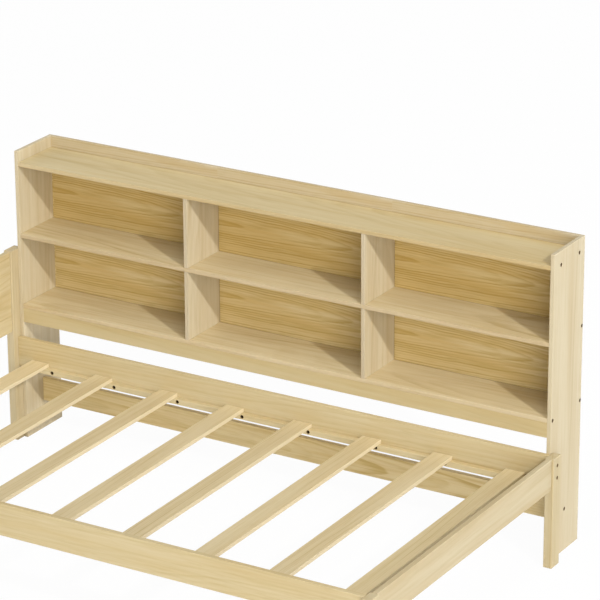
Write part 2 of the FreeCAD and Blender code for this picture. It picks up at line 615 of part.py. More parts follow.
all_bolts = bed_bolts(REAR_RAIL) + bed_bolts(FRONT_RAIL)
bolts = new_piece("bed_bolts", GROUP_CORNER)
for into_rail, outer, away in (("+X", f"-{HALF_LENGTH} - leg_thickness", "-X"),
                               ("-X", f"{HALF_LENGTH} + leg_thickness", "+X")):
    sign = "+" if into_rail == "+X" else "-"
    seat = f"{outer} {sign} bolt_recess"
    top = f"{seat} {'-' if sign == '+' else '+'} bolt_head_height"
    bolts.rod(away, seat, all_bolts, "bolt_head_diameter", "bolt_head_height")
    bolts.rod(into_rail, seat, all_bolts, "bolt_diameter", "bolt_length")
    bolts.drill(into_rail, top, all_bolts, "socket_diameter", "socket_depth")

nuts = new_piece("barrel_nuts", GROUP_CORNER)
for rail in (REAR_RAIL, FRONT_RAIL):
    nuts.rod("+Y", f"{rail} - nut_length / 2", nut_places(bed_bolts(rail)), "nut_diameter",
             "nut_length")
for into_rail, start in (("+X", f"-{HALF_LENGTH}"), ("-X", HALF_LENGTH)):
    nuts.drill(into_rail, start, all_bolts, BOLT_HOLE, "2 * nut_setback")

shelf_dowels = new_piece("shelf_dowels", GROUP_CORNER)
end_dowels = middle_dowels + bottom_dowels
shelf_dowels.rod("+X", f"-{HALF_LENGTH} + board_thickness - dowel_depth", end_dowels,
                 "dowel_diameter", "dowel_length")
shelf_dowels.rod("-X", f"{HALF_LENGTH} - board_thickness + dowel_depth", end_dowels,
                 "dowel_diameter", "dowel_length")

divider_dowel_group = new_piece("divider_dowels", GROUP_CORNER)
divider_dowel_group.rod("+Z", "bottom_shelf_height + board_thickness - dowel_depth",
                        divider_dowels, "dowel_diameter", "dowel_length")
divider_dowel_group.rod("-Z", f"{TOP_SHELF} + dowel_depth", divider_dowels, "dowel_diameter",
                        "dowel_length")

apron_dowel_group = new_piece("apron_dowels", GROUP_CORNER)
apron_dowel_group.rod("-Z", "bottom_shelf_height + dowel_depth", apron_dowels,
                      "dowel_diameter", "dowel_length")

slat_dowels = new_piece("slat_dowels", GROUP_CORNER)
slat_dowels.rod("-Z", f"{LEDGER_TOP} + {SLAT_DOWEL_IN_SLAT}",
                [(x, y) for x in slat_middles for y in (REAR_LEDGER, FRONT_LEDGER)],
                "dowel_diameter", "dowel_length")

end_rail_dowel_group = new_piece("end_rail_dowels", GROUP_CORNER)
headboard_dowel_group = new_piece("headboard_dowels", GROUP_CORNER)
for group, start, end, centres in (
        (end_rail_dowel_group, FOOT_FROM, FOOT_TO, end_rail_dowels),
        (headboard_dowel_group, HEAD_FROM, HEAD_TO, panel_dowels + lower_rail_dowels)):
    for joint in (start, end):
        group.rod("+Y", f"{joint} - frame_dowel_length / 2", centres, "frame_dowel_diameter",
                  "frame_dowel_length")


# ---------------------------------------------------------------- check and write

doc.recompute()
for item in doc.Objects:
    broken = {"Invalid", "Error"} & set(item.State)
    if broken:
        raise RuntimeError(f"{item.Name} is {broken}")
    if item.TypeId == "PartDesign::Pocket":
        removed = item.BaseFeature.Shape.Volume - item.Shape.Volume
        if removed < 1.0:
            raise RuntimeError(f"{item.Name} cuts nothing")

os.makedirs("parts", exist_ok=True)
for piece in pieces:
    shape = piece.body.Shape
    if shape.isNull() or not shape.isValid():
        raise RuntimeError(f"{piece.body.Label} has no valid shape")
    shape.exportStep(f"parts/{piece.body.Label}.step")
    box = shape.BoundBox
    print(f"{piece.body.Label:26s} solids {len(shape.Solids):2d}  volume {shape.Volume:12.1f}  "
          f"x {box.XMin:8.2f} {box.XMax:8.2f}  y {box.YMin:8.2f} {box.YMax:8.2f}  "
          f"z {box.ZMin:8.2f} {box.ZMax:8.2f}")
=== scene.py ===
# %% [markdown]
# A pine bed with a long bookcase.
# The bed is knock-down furniture: planed pine boards with eased edges, screws in sunk holes,
# and bed bolts through the legs. The solid model gives every board its place and size. Here
# the boards become smooth meshes, the wood gets its grain, and a camera and lamps are set up.

import bpy
import numpy as np
from mathutils import Matrix, Vector


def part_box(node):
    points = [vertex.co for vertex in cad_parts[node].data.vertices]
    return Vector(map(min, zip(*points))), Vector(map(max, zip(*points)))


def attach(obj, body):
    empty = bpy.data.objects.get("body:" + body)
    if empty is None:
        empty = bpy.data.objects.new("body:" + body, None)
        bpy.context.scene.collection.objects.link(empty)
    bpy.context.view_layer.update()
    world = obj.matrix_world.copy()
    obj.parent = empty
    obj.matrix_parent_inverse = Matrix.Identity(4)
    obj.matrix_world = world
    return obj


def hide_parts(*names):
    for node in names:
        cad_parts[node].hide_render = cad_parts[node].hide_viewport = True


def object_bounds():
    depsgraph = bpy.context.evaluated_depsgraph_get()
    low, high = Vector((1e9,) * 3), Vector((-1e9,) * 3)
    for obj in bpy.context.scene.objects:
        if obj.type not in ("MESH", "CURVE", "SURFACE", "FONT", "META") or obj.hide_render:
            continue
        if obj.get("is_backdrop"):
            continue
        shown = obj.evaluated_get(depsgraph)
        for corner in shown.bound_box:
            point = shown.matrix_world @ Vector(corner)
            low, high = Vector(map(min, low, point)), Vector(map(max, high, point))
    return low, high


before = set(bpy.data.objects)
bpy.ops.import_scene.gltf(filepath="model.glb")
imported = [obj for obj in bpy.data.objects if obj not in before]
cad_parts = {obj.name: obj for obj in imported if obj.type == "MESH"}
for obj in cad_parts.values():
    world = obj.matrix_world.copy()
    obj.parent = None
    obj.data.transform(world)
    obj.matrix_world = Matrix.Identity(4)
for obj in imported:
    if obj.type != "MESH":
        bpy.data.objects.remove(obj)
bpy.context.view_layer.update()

# %% [markdown]
# A material is a small network of nodes. Wired by hand it is slow to read, so one class wraps
# an output socket and lets it be added, multiplied and compared like a number. Numbers alone
# never become nodes: Python works them out first.

# %% A socket that does arithmetic
class Value:
    """The output of a node, as a number that varies over the surface."""

    def __init__(self, network, socket):
        self.network = network
        self.socket = socket

    def beside(self, output):
        """Another output of the same node."""
        return Value(self.network, self.socket.node.outputs[output])

    def maths(self, operation, *others):
        """A Math node on this value, then on the others."""
        return self.network.maths(operation, self, *others)

    def __add__(self, other):
        return self.maths("ADD", other)

    def __sub__(self, other):
        return self.maths("SUBTRACT", other)

    def __rsub__(self, other):
        return self.network.maths("SUBTRACT", other, self)

    def __mul__(self, other):
        return self.maths("MULTIPLY", other)

    def __truediv__(self, other):
        return self.maths("DIVIDE", other)

    def __rtruediv__(self, other):
        return self.network.maths("DIVIDE", other, self)

    def __pow__(self, other):
        return self.maths("POWER", other)

    def __rpow__(self, other):
        return self.network.maths("POWER", other, self)

    __radd__ = __add__
    __rmul__ = __mul__


print("a value knows", sum(name.startswith("__r") for name in vars(Value)), "reflected operators")

# %% [markdown]
# The wood, the steel, the floor and the sky are each a tree of nodes. One class adds a node of
# any kind, and has short names for the few that are needed again and again: noise, a blend of
# two colours and a smooth step. A Mix node keeps sockets for numbers, vectors and colours
# side by side, so the ones for colours are picked by their place in the row.

# %% Networks of nodes
MIX_SHARE, MIX_FIRST, MIX_SECOND, MIX_RESULT = 0, 6, 7, 2


class Network:
    """A tree of shader nodes."""

    def __init__(self, tree):
        self.tree = tree

    def node(self, kind, settings=None, inputs=None, output=0):
        """Add a node: its settings first, then a value or a link for each named input."""
        made = self.tree.nodes.new(kind)
        for name, setting in (settings or {}).items():
            setattr(made, name, setting)
        for name, value in (inputs or {}).items():
            self.feed(made.inputs[name], value)
        return Value(self, made.outputs[output])

    def feed(self, socket, value):
        """Link a value into a socket, or set the socket to a plain number or colour."""
        if isinstance(value, Value):
            self.tree.links.new(value.socket, socket)
        else:
            socket.default_value = value

    def maths(self, operation, *values):
        """A Math node on numbers and values."""
        return self.node("ShaderNodeMath", {"operation": operation}, dict(enumerate(values)))

    def noise(self, place, scale, detail, roughness=0.5):
        """Noise from 0 to 1 around 0.5 at a place, `scale` cells to the metre."""
        return self.node("ShaderNodeTexNoise", {"noise_dimensions": "3D"},
                         {"Vector": place, "Scale": scale, "Detail": detail,
                          "Roughness": roughness})

    def blend(self, share, first, second, how="MIX"):
        """Mix two colours: `share` of the second."""
        first, second = (colour if isinstance(colour, Value) else (*colour, 1.0)
                         for colour in (first, second))
        return self.node("ShaderNodeMix", {"data_type": "RGBA", "blend_type": how},
                         {MIX_SHARE: share, MIX_FIRST: first, MIX_SECOND: second},
                         output=MIX_RESULT)

    def tint(self, share, colour, shade):
        """Multiply a colour by a shade, where the share is 1."""
        return self.blend(share, colour, shade, how="MULTIPLY")

    def ease(self, value, low, high, start=0.0, end=1.0):
        """A smooth step from `start` to `end` as the value goes from low to high."""
        return self.node("ShaderNodeMapRange", {"interpolation_type": "SMOOTHSTEP"},
                         {"Value": value, "From Min": low, "From Max": high,
                          "To Min": start, "To Max": end})


print("a network adds nodes, noise, blends, tints and smooth steps")

# %% [markdown]
# A material is such a network with a Principled shader at its end, which knows how light meets
# wood, metal or paint. Its sockets are filled in by name, with numbers or with values.

# %% Materials
class Shader(Network):
    """One material, whose Principled shader is filled in by name."""

    def __init__(self, name):
        self.material = bpy.data.materials.new(name)
        self.material.use_nodes = True
        super().__init__(self.material.node_tree)
        self.surface = self.tree.nodes["Principled BSDF"]

    def fill(self, inputs):
        """Set or link sockets of the Principled shader, by name."""
        for name, value in inputs.items():
            self.feed(self.surface.inputs[name], value)


print("a material is filled in by the names of its sockets")

# %% [markdown]
# Pine is a bundle of cones, one inside the other: each year adds a pale layer that darkens
# to a thin amber one. A board is a plane cut through them, so the same rule gives straight
# lines on one face, long arches on another and rings on the ends. So the grain is worked out
# in space, from the board's own length, width and thickness, instead of painted face by face.
# Its colours come first, as a display shows them.

# %% Colours of the wood
def linear(red, green, blue):
    """A display colour from 0 to 255 as the linear light that a shader expects."""
    value = np.array([red, green, blue]) / 255.0
    light = np.where(value <= 0.04045, value / 12.92, ((value + 0.055) / 1.055) ** 2.4)
    return tuple(float(x) for x in light)


EARLY_WOOD = linear(199, 182, 143)    # the pale layer of spring
LATE_WOOD = linear(170, 145, 92)      # the amber line that ends a year
HONEY = linear(190, 168, 122)         # broad warm patches
AMBER = linear(183, 153, 97)          # smaller patches, rich in resin
PALE = linear(206, 192, 157)          # broad patches of sapwood
print("early wood", [round(x, 3) for x in EARLY_WOOD])

# %% [markdown]
# Nothing in wood is even. Each kind of unevenness is a noise that is stretched along the
# board, from bends as long as an arm to fibres as fine as a hair. The table holds the cells to
# the metre along, across and through the board, then the noise's detail and roughness.

# %% Kinds of unevenness
NOISES = {
    "wander": ((0.55, 1.6, 1.6), 1.0, 0.5),          # the pith bends slowly
    "waver": ((1.9, 9.0, 9.0), 2.0, 0.55),           # the rings wave round it
    "ripple": ((9.0, 36.0, 36.0), 2.0, 0.6),         # and shiver at a finger's width
    "spacing": ((0.5, 5.0, 5.0), 1.0, 0.5),          # good years and poor ones
    "strength": ((1.1, 13.0, 13.0), 1.0, 0.5),       # rings stand out, and fade
    "fibre": ((9.0, 420.0, 420.0), 3.0, 0.65),
    "streak": ((2.2, 85.0, 85.0), 3.0, 0.65),
    "fleck": ((14.0, 130.0, 130.0), 2.0, 0.6),
    "blotch": ((1.0, 12.0, 12.0), 2.0, 0.5),
    "cloud": ((1.9, 34.0, 34.0), 3.0, 0.6),
    "sapwood": ((0.6, 6.0, 6.0), 1.0, 0.5),
    # close lines drawn in the upper part of each stave, over painted shade there
    "close lines": ((0.5, 150.0, 0.0), 2.0, 0.7),    # slow-grown wood
}
print(len(NOISES), "kinds of unevenness")

# %% [markdown]
# A board needs directions of its own before it can have grain. Its length runs with the grain,
# its width is the wider of the other two, and all three start from the board's middle. A
# random shift takes every board from another place in the tree.

# %% The directions of one board
FARTHEST_SHIFT = 40    # metres


class Timber(Shader):
    """The wood of one board, with its length, width and thickness as values."""

    def __init__(self, name, grain, low, high, seed):
        super().__init__(name)
        size = np.array(high) - np.array(low)
        middle = (np.array(high) + np.array(low)) / 2
        along = "XYZ".index(grain)
        across = sorted((axis for axis in (0, 1, 2) if axis != along),
                        key=lambda axis: -size[axis])
        order = [along, *across]
        self.random = np.random.default_rng(seed)
        self.shift = self.random.uniform(-FARTHEST_SHIFT, FARTHEST_SHIFT, 3)
        self.middle = [float(middle[axis]) for axis in order]
        self.breadth = float(size[order[1]])
        point = self.node("ShaderNodeTexCoord", output="Object")
        parts = self.node("ShaderNodeSeparateXYZ", inputs={0: point})
        self.axes = [parts.beside(axis) for axis in (0, 1, 2)]
        self.length, self.width, self.thick = [
            self.axes[axis] - centre for axis, centre in zip(order, self.middle)]

    def place(self, *stretches):
        """A point of the board, with its own stretch along each direction."""
        sides = zip((self.length, self.width, self.thick), stretches, self.shift)
        return self.node("ShaderNodeCombineXYZ", inputs={
            part: side * stretch + float(shift)
            for part, (side, stretch, shift) in enumerate(sides)})

    def uneven(self, kind):
        """A noise of the table, from 0 to 1."""
        stretches, detail, roughness = NOISES[kind]
        return self.noise(self.place(*stretches), 1.0, detail, roughness)


print("boards come from places up to", FARTHEST_SHIFT, "m apart from the middle")

# %% [markdown]
# The back panel is glued up from strips, and looks alike in all six compartments. So its front
# is cut into staves, as long and as high as a compartment, and every stave takes its grain from
# the same place in the tree. The rear of the panel, which shows only from behind, is left whole.

# %% Staves of a glued-up panel
PITH_ALONG, PITH_ACROSS = 0.72, 0.42    # where the arches of a stave start, in parts of it


def cut_staves(timber, start, length, bottom, width):
    """Repeat the front of a panel, and give back where its front and its upper strips are.

    place in a stave = what is left of the place in the panel after whole staves
    """
    rear = timber.thick.maths("GREATER_THAN", 0.0)
    front = 1.0 - rear
    along = (timber.length + timber.middle[0]).maths("WRAP", start + length, start)
    rise = (timber.width + timber.middle[1]).maths("WRAP", bottom + width, bottom)
    above_bottom = timber.width - (bottom - timber.middle[1])
    top_strip = above_bottom.maths("GREATER_THAN", 2 * width)
    upper_row = above_bottom.maths("GREATER_THAN", width) - top_strip
    timber.length = (timber.length * rear
                     + (along - (start + length * PITH_ALONG)) * front)
    timber.width = timber.width * rear + (rise - (bottom + width * PITH_ACROSS)) * front
    return front, upper_row, top_strip


print("a stave's arches start at", PITH_ALONG, "of its length")

# %% [markdown]
# The rings. A tree isn't straight, so the pith leans and drifts along the board. A pith far to
# the side gives straight lines, as on a board that was cut with the rings upright. Each
# year darkens slowly and ends suddenly, and no two years are equally dark.

# %% Yearly rings
LEAST_WANDER, WANDER, WIDEST = 0.015, 0.16, 0.4    # the pith of a wide board wanders more
WAVER, RIPPLE, YEARS_ASTRAY = 0.016, 0.005, 5.0
MOST_ASIDE = 0.32                                  # in parts of the board's width
LEANS, MOST_DRIFT = (0.020, 0.036), 0.020          # metres to the metre of length
STAVE_PITH = (0.0, 0.055, -0.012)                  # aside, lean and drift
DARKENING, ENDING = (0.25, 0.84), (0.86, 1.0)      # parts of a year
VIGOUR, LEAST_VIGOUR = 1.1, 0.18
STANDING_OUT = (0.34, 0.72, 0.25, 1.0)             # from faded rings to full ones


def yearly_rings(timber, seed, ring, depth, aside, wave, staves):
    """How much late wood there is at each point of a board, from 0 to about 1.

    ring radius = distance from the pith, which lies `depth` behind the board and `aside` of
        its middle, and leans, drifts, wanders and ripples along it
    year = fractional part of ring radius / ring width
    late wood = smooth rise and sharp end of the year * vigour of that year * local strength
    """
    random = timber.random
    pith_side = float(random.uniform(-MOST_ASIDE, MOST_ASIDE) * timber.breadth) + aside
    lean = float(random.choice((-1, 1)) * random.uniform(*LEANS))
    drift = float(random.uniform(-MOST_DRIFT, MOST_DRIFT))
    if staves:
        pith_side, lean, drift = STAVE_PITH
    wander, waver, ripple, spacing = [
        timber.uneven(kind) - 0.5 for kind in ("wander", "waver", "ripple", "spacing")]
    reach = LEAST_WANDER + WANDER * min(timber.breadth, WIDEST)
    side = timber.width - pith_side + timber.length * drift
    back = timber.thick + depth + timber.length * lean
    radius = ((side * side + back * back) ** 0.5 + wander * reach + waver * WAVER
              + ripple * (RIPPLE * wave))
    turns = radius / ring + spacing * YEARS_ASTRAY
    year = turns.maths("FRACT")
    vigour = timber.node("ShaderNodeTexWhiteNoise", {"noise_dimensions": "1D"},
                         {"W": turns.maths("FLOOR") + float(seed)})
    late = timber.ease(year, *DARKENING) * (1.0 - timber.ease(year, *ENDING))
    late = late * (vigour * vigour * VIGOUR + LEAST_VIGOUR)
    return late * timber.ease(timber.uneven("strength"), *STANDING_OUT)


print("the pith of a wide board wanders", LEAST_WANDER + WANDER * WIDEST, "m")

# %% [markdown]
# Some light and shade is painted into the wood. The front edges of shelves and dividers get
# painted shade, a shade darker than their faces, and a painted shadow line where they meet the
# back panel. The slats' narrow sides get painted light, paler than their faces. And a drilled
# recess gets dark painted shade round the screw. All are masks from the distance to an edge or
# an axis, so they stay put when a board is turned.

# %% Painted shade on edges and recesses, painted light on narrow sides
# painted shades that multiply the wood's colour, and the colour of painted light on narrow sides
FRONT_EDGE_SHADE, REAR_JOINT_SHADOW, RECESS_SHADE = (0.74, 0.68, 0.66), (0.42, 0.34, 0.22), (0.30, 0.22, 0.12)
# the paler colour of the painted light on a slat's narrow sides
SIDE_LIGHT = linear(208, 191, 155)
# metres in from the edge where each begins and ends, or out from the axis of a recess
EDGE_START, EDGE_END = 0.0008, 0.0020
JOINT_START, JOINT_END, JOINT_SHARE = 0.0045, 0.0020, 0.75
SIDE_LIGHT_START, SIDE_LIGHT_END = 0.0012, 0.0004
# how far out from the axis the painted shade of a recess fades
RECESS_FADE = (0.0060, 0.0065)


def shade_edges(timber, wood, share):
    """Paint shade on a shelf's front edge, and a painted shadow line at the joint on its rear
    edge.
    """
    half = timber.breadth / 2
    front = timber.ease(timber.width, EDGE_START - half, EDGE_END - half, share, 0.0)
    rear = timber.ease(timber.width, half - JOINT_START, half - JOINT_END, 0.0, JOINT_SHARE)
    return timber.tint(rear, timber.tint(front, wood, FRONT_EDGE_SHADE), REAR_JOINT_SHADOW)


def paint_light_on_sides(timber, wood, share):
    """Paint light on the two narrow sides: blend them towards a paler colour."""
    half = timber.breadth / 2
    narrow = timber.ease(timber.width.maths("ABSOLUTE"), half - SIDE_LIGHT_START, half - SIDE_LIGHT_END,
                         0.0, share)
    return timber.blend(narrow, wood, SIDE_LIGHT)


def shade_recesses(timber, wood, holes):
    """Paint shade on the wood near the axes of its fasteners: nearest = least distance to an
    axis.
    """
    nearest = None
    for axis, centre in holes:
        point = [0.0 if part == axis else timber.axes[part] for part in (0, 1, 2)]
        spot = tuple(0.0 if part == axis else float(centre[part]) for part in (0, 1, 2))
        point = timber.node("ShaderNodeCombineXYZ", inputs=dict(enumerate(point)))
        away = timber.node("ShaderNodeVectorMath", {"operation": "DISTANCE"},
                           {0: point, 1: spot}, output=1)
        nearest = away if nearest is None else nearest.maths("MINIMUM", away)
    return timber.tint(timber.ease(nearest, *RECESS_FADE, 1.0, 0.0), wood, RECESS_SHADE)


print("recesses are dark within", RECESS_FADE[0], "m of the axis")

# %% [markdown]
# Under the rings, pine is never one colour. Broad honey patches, paler sapwood and small amber
# clouds lie over each other, each a noise that is turned into a share of its colour.

# %% Patches of colour
# where each noise starts to show, where it is full, and the shares there
BLOTCHES, SAPWOOD, CLOUDS = (0.30, 0.72, 0.0, 0.70), (0.45, 0.75, 0.0, 0.55), (0.44, 0.70, 0.0)


def patched_wood(timber, amber):
    """Early wood, blended in turn towards honey, pale and amber wood by three noises."""
    blotches = timber.ease(timber.uneven("blotch"), *BLOTCHES)
    sapwood = timber.ease(timber.uneven("sapwood"), *SAPWOOD)
    clouds = timber.ease(timber.uneven("cloud"), *CLOUDS, amber)
    wood = timber.blend(blotches, EARLY_WOOD, HONEY)
    wood = timber.blend(sapwood, wood, PALE)
    return timber.blend(clouds, wood, AMBER)


print("sapwood covers up to", SAPWOOD[-1])

# %% [markdown]
# Now the layers come together. Rings, streaks, flecks and fibres decide how far each point
# goes towards late wood. The upper part of a stave, under the shelf above, is darker with close
# dark lines: the lines are grain, and the even darkening is painted shade. Fibres also roughen
# the surface, and late wood is a little smoother and stands a little proud, as it does after
# planing.

# %% The wood of one board
# where each noise starts to show, where it is full, and the shares of late wood there
STREAKS, FLECKS = (0.46, 0.68, 0.0, 0.36), (0.50, 0.72, 0.0, 0.20)
FIBRES = (0.45, 0.80, 0.0, 0.14)
RING_SHARE = 0.95
# the band in the upper part of a stave, with close lines and a least share that is painted shade
UPPER_STAVE_SHADE = (0.035, 0.085)         # where it starts and is full, above the stave's pith
CLOSE_LINES, LINE_SHARE, LEAST_SHARE = (0.44, 0.64), 0.42, 0.10
TOP_STRIP, UPPER_ROW = (0.76, 0.80, 0.98), (0.93, 0.89, 0.80)
TOP_STRIP_FADING = 0.45            # how much fainter the grain of the top strip is
HUE = 0.502                        # 0.5 leaves the hue alone, and this is a little greener
ROUGHNESS, FIBRE_ROUGHNESS, LATE_SMOOTHNESS, GLOSS = 0.50, 0.14, 0.06, 0.40
FIBRE_RELIEF, RING_RELIEF, STREAK_RELIEF = 0.5, 0.35, 0.25
BUMP = {"Strength": 0.22, "Distance": 0.0006}


def pine(name, low, high, seed, grain, depth, contrast, tone, richness, ring=0.0080,
         amber=0.30, wave=0.7, aside=0.0, edge=0.0, pale=0.0, holes=(), staves=None):
    """Pine for one board that runs along the axis `grain`.

    colour = patched wood * (1 - share) + late wood * share, then brighter by the tone and
        stronger by the richness; share = (rings + streaks + flecks + fibres) * contrast
    ring, depth, aside, wave = width of a year, place of the pith and how much rings ripple
    amber, edge, pale = shares of amber patches, of the front edge's painted shade, of the painted
    light on the narrow sides holes = axis and centre of each fastener; staves = start, length,
    bottom and width of one
    """
    timber = Timber(name, grain, low, high, seed)
    if staves:
        front, upper_row, top_strip = cut_staves(timber, *staves)
    rings = yearly_rings(timber, seed, ring, depth, aside, wave, staves)
    fibre, streak, fleck = [timber.uneven(kind) for kind in ("fibre", "streak", "fleck")]
    share = (rings * RING_SHARE + timber.ease(streak, *STREAKS) + timber.ease(fleck, *FLECKS)
             + timber.ease(fibre, *FIBRES)) * contrast
    if staves:
        # the upper part of each stave gets painted shade under the shelf above, with close dark
        # lines
        slow = timber.ease(timber.width, *UPPER_STAVE_SHADE) * front
        lines = timber.ease(timber.uneven("close lines"), *CLOSE_LINES)
        share = share + slow * (lines * LINE_SHARE + LEAST_SHARE)
        share = share * (1.0 - top_strip * TOP_STRIP_FADING)
    wood = timber.blend(share, patched_wood(timber, amber), LATE_WOOD)
    if staves:
        wood = timber.tint(top_strip, wood, TOP_STRIP)
        wood = timber.tint(upper_row, wood, UPPER_ROW)
    if edge:
        wood = shade_edges(timber, wood, edge)
    if pale:
        wood = paint_light_on_sides(timber, wood, pale)
    if holes:
        wood = shade_recesses(timber, wood, holes)
    wood = timber.node("ShaderNodeHueSaturation", inputs={
        "Color": wood, "Saturation": richness, "Value": 1.0 + tone, "Hue": HUE})
    relief = fibre * FIBRE_RELIEF + rings * RING_RELIEF + streak * STREAK_RELIEF
    timber.fill({
        "Base Color": wood,
        "Roughness": ROUGHNESS + fibre * FIBRE_ROUGHNESS - rings * LATE_SMOOTHNESS,
        "Normal": timber.node("ShaderNodeBump", inputs={**BUMP, "Height": relief}),
        "Specular IOR Level": GLOSS})
    return timber.material


print("pine's roughness goes up to", ROUGHNESS + FIBRE_ROUGHNESS)

# %% [markdown]
# Every board has eased edges: a carpenter runs sandpaper along them, so they catch the light
# as a thin bright line. A plain bevel would do, but a board is simple enough to write down
# whole. It is one grid of points, round the board one way and along it the other way.

# %% The surface of a board with eased edges
EDGE_STEPS = 4    # faces round each quarter circle


def board_surface(low, high, radius):
    """Points, normals and faces of a box whose edges are quarter circles and corners balls.

    point = nearest point of a smaller inner box + radius * outward direction, where the
    direction turns round the board with u and from end to end with v
    """
    low, high = np.array(low, float), np.array(high, float)
    along = int(np.argmax(high - low))
    side_a, side_b = [axis for axis in (0, 1, 2) if axis != along]
    if (side_a, side_b) == (0, 2):
        side_a, side_b = side_b, side_a
    turn = np.linspace(0, np.pi / 2, EDGE_STEPS + 1)
    u = np.concatenate([turn + quarter * np.pi / 2 for quarter in range(4)])
    v = np.concatenate([turn - np.pi / 2, turn])
    around, lengthwise = np.meshgrid(u, v)
    direction = np.zeros(around.shape + (3,))
    direction[..., side_a] = np.cos(lengthwise) * np.cos(around)
    direction[..., side_b] = np.cos(lengthwise) * np.sin(around)
    direction[..., along] = np.sin(lengthwise)

    # each point belongs to one corner of the inner box
    quarter = np.broadcast_to(np.repeat(np.arange(4), EDGE_STEPS + 1), around.shape)
    far_end = np.broadcast_to((np.arange(len(v)) > EDGE_STEPS)[:, None], around.shape)
    corner = np.zeros(direction.shape)
    for axis, far in ((side_a, np.isin(quarter, (0, 3))), (side_b, np.isin(quarter, (0, 1))),
                      (along, far_end)):
        corner[..., axis] = np.where(far, high[axis] - radius, low[axis] + radius)
    points = corner + radius * direction

    cell = np.arange(around.size).reshape(around.shape)
    after = np.roll(cell, -1, axis=1)
    quads = np.stack([cell[:-1], after[:-1], after[1:], cell[1:]], -1).reshape(-1, 4)
    faces = quads.tolist() + [cell[0, ::-1].tolist(), cell[-1].tolist()]
    return points.reshape(-1, 3), direction.reshape(-1, 3), faces


print(len(board_surface((0, 0, 0), (1, 1, 1), 0.1)[0]), "points to a board")

# %% [markdown]
# The grid's points meet at the ends and where a face of the board is flat, so points that
# share a place are joined, and faces that have shrunk to a line are left out. The normals come
# from the formula, so the flat faces stay flat and only the eased edges look round.

# %% Make the mesh, and put it in the board's place
SAME_PLACE = 7    # decimals of a metre


def make_mesh(name, points, normals, faces):
    """A mesh object from arrays, with points that share a place joined into one."""
    _, first, merged = np.unique(np.round(points, SAME_PLACE), axis=0, return_index=True,
                                 return_inverse=True)
    merged = merged.ravel()
    joined = [list(dict.fromkeys(merged[face].tolist())) for face in faces]
    mesh = bpy.data.meshes.new(name)
    mesh.from_pydata(points[first].tolist(), [], [face for face in joined if len(face) > 2])
    mesh.validate()
    mesh.shade_smooth()
    mesh.normals_split_custom_set_from_vertices(normals[first].tolist())
    made = bpy.data.objects.new(name, mesh)
    bpy.context.scene.collection.objects.link(made)
    return made


def make_board(node, name, radius):
    """A board in the place of a CAD node, riding where it rides."""
    low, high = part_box(node)
    made = make_mesh(name, *board_surface(low, high, radius))
    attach(made, "root")
    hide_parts(node)
    return made


print("points are joined within", 10.0 ** -SAME_PLACE, "m")

# %% [markdown]
# Some groups of the solid model hold many alike fasteners in one mesh. To know where each
# sits, the mesh is taken apart again: triangles that share a corner belong to one solid.

# %% Find the separate solids of a group
SAME_CORNER = 6    # decimals of a metre


def solids(node):
    """The points of each separate solid of a CAD node.

    label = lowest number among the points that triangles join to this one, spread until
    nothing changes
    """
    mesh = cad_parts[node].data
    points = np.empty(3 * len(mesh.vertices))
    mesh.vertices.foreach_get("co", points)
    corners = np.empty(len(mesh.loops), int)
    mesh.loops.foreach_get("vertex_index", corners)
    places, shared = np.unique(np.round(points.reshape(-1, 3), SAME_CORNER), axis=0,
                               return_inverse=True)
    triangles = shared.ravel()[corners].reshape(-1, 3)
    label = np.arange(len(places))
    while True:
        lowest = label.copy()
        np.minimum.at(lowest, triangles.ravel(), np.repeat(label[triangles].min(axis=1), 3))
        if (lowest == label).all():
            return [places[label == which] for which in np.unique(label)]
        label = lowest


def recesses(node, fasteners):
    """Axis and centre of each fastener of a group whose box meets the box of a board."""
    low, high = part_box(node)
    spots = []
    for solid in solids(fasteners):
        nearest, farthest = solid.min(axis=0), solid.max(axis=0)
        if (farthest > low).all() and (nearest < high).all():
            spots.append((int(np.argmax(farthest - nearest)), (nearest + farthest) / 2))
    return spots


print("ledger screws:", len(solids("ledger_screws")), "solids")

# %% [markdown]
# The boards. Plain ones get the smooth mesh, and their line says how far the edges are eased.
# Those with sunk screw holes or halved slots stay as the solid model cut them, because a
# hole's rim is already right there, and their line names what is screwed through them. Tone
# and richness follow the photograph, so they carry painted light and shade: boards that face
# right, where the light falls, are painted paler, and boards that stand in shade, such as the
# stretcher under the bed and the back panel inside the compartments, are painted brighter.

# %% The boards and their wood
EASED, SLAT_EASED = 0.0015, 0.001
# a stave of the back panel: first compartment's left, pitch of compartments, top of the bottom
# shelf, pitch of shelves
STAVES = (-0.98175, 0.6545, 0.4875, 0.251)


def plank(grain, depth, contrast, tone, richness, **more):
    """The wood of one board: its grain, depth of the pith, contrast, tone and richness."""
    return {"grain": grain, "depth": depth, "contrast": contrast, "tone": tone,
            "richness": richness, **more}


